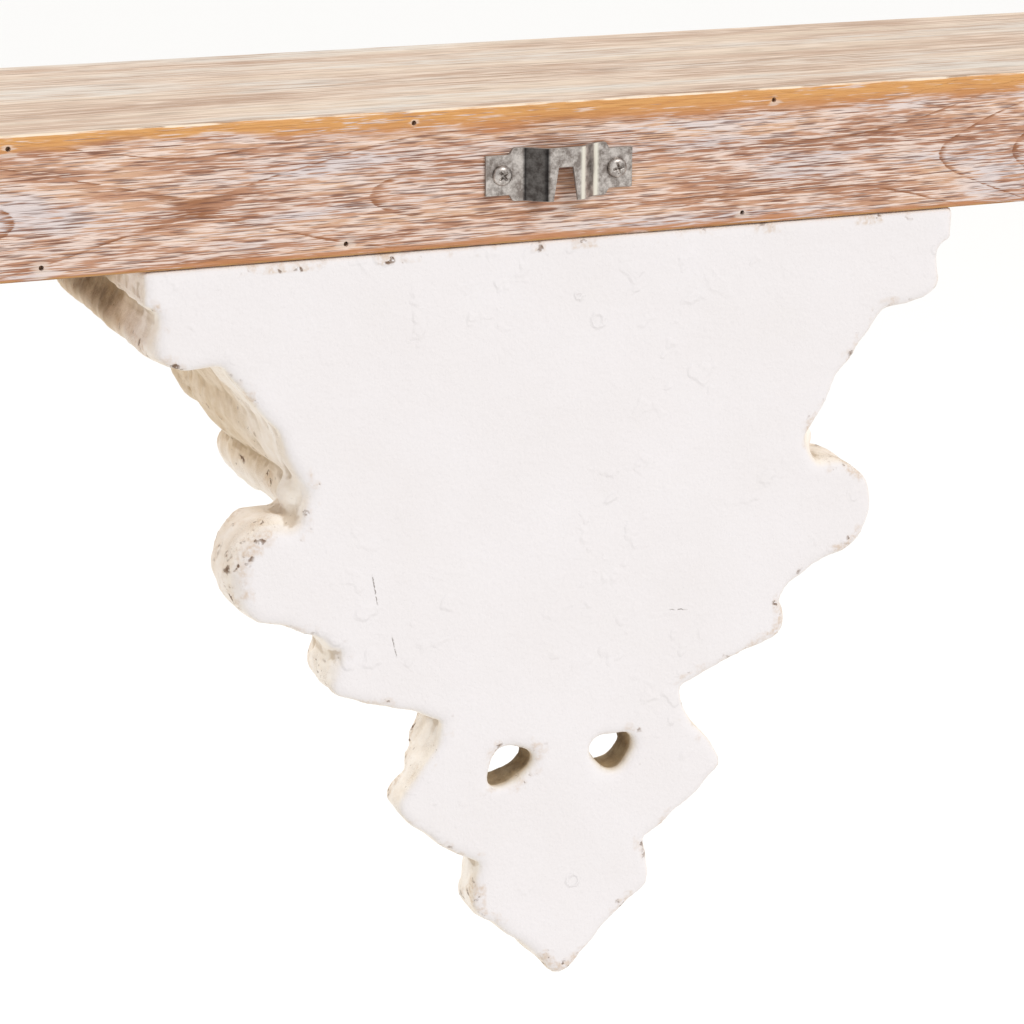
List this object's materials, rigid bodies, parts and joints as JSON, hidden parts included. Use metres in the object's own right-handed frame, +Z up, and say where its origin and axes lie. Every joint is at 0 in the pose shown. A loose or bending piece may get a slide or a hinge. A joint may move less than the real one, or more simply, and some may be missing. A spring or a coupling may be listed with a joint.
{
  "type": "wall shelf with brackets",
  "caption": "Long wall shelf, a hollow box beam of mitred limed boards, on white carved corbel brackets, with steel hanger straps on its back.",
  "frame": {"origin": "on the back face of the shelf beam, at mid length and mid height", "axes": "+X to the right seen from the front, along the shelf; +Y out of the back face, towards the wall; +Z up"},
  "size_m": [1.2, 0.1437, 0.3192],
  "materials": {
    "limed_top": "limed, straight grained, matt",
    "limed_board": "stained and limed, worn to bare timber along the edges, matt",
    "raw_wood": "sawn, unfinished",
    "chalk_paint": "carved wood under distressed white chalk paint, matt",
    "plated_steel": "bright plated",
    "wire_steel": "dull, darkened"
  },
  "bodies": {
    "root": {"back_board": "limed_board", "back_lower_brad_1": "wire_steel", "back_lower_brad_2": "wire_steel", "back_lower_brad_3": "wire_steel", "back_lower_brad_4": "wire_steel", "back_lower_brad_5": "wire_steel", "back_lower_brad_6": "wire_steel", "back_lower_brad_7": "wire_steel", "back_lower_brad_8": "wire_steel", "back_upper_brad_1": "wire_steel", "back_upper_brad_2": "wire_steel", "back_upper_brad_3": "wire_steel", "back_upper_brad_4": "wire_steel", "back_upper_brad_5": "wire_steel", "back_upper_brad_6": "wire_steel", "back_upper_brad_7": "wire_steel", "back_upper_brad_8": "wire_steel", "bottom_panel": "limed_board", "centre_rib": "raw_wood", "front_board": "limed_board", "front_lower_brad_1": "wire_steel", "front_lower_brad_2": "wire_steel", "front_lower_brad_3": "wire_steel", "front_lower_brad_4": "wire_steel", "front_lower_brad_5": "wire_steel", "front_lower_brad_6": "wire_steel", "front_lower_brad_7": "wire_steel", "front_lower_brad_8": "wire_steel", "front_upper_brad_1": "wire_steel", "front_upper_brad_2": "wire_steel", "front_upper_brad_3": "wire_steel", "front_upper_brad_4": "wire_steel", "front_upper_brad_5": "wire_steel", "front_upper_brad_6": "wire_steel", "front_upper_brad_7": "wire_steel", "front_upper_brad_8": "wire_steel", "left_bearer_block": "raw_wood", "left_bracket": "chalk_paint", "left_bracket_screw_1": "wire_steel", "left_bracket_screw_2": "wire_steel", "left_bracket_screw_3": "wire_steel", "left_end_board": "limed_board", "left_hanger": "plated_steel", "left_hanger_screw_1": "plated_steel", "left_hanger_screw_2": "plated_steel", "right_bearer_block": "raw_wood", "right_bracket": "chalk_paint", "right_bracket_screw_1": "wire_steel", "right_bracket_screw_2": "wire_steel", "right_bracket_screw_3": "wire_steel", "right_end_board": "limed_board", "right_hanger": "plated_steel", "right_hanger_screw_1": "plated_steel", "right_hanger_screw_2": "plated_steel", "top_panel": "limed_top"}
  },
  "joints": []
}
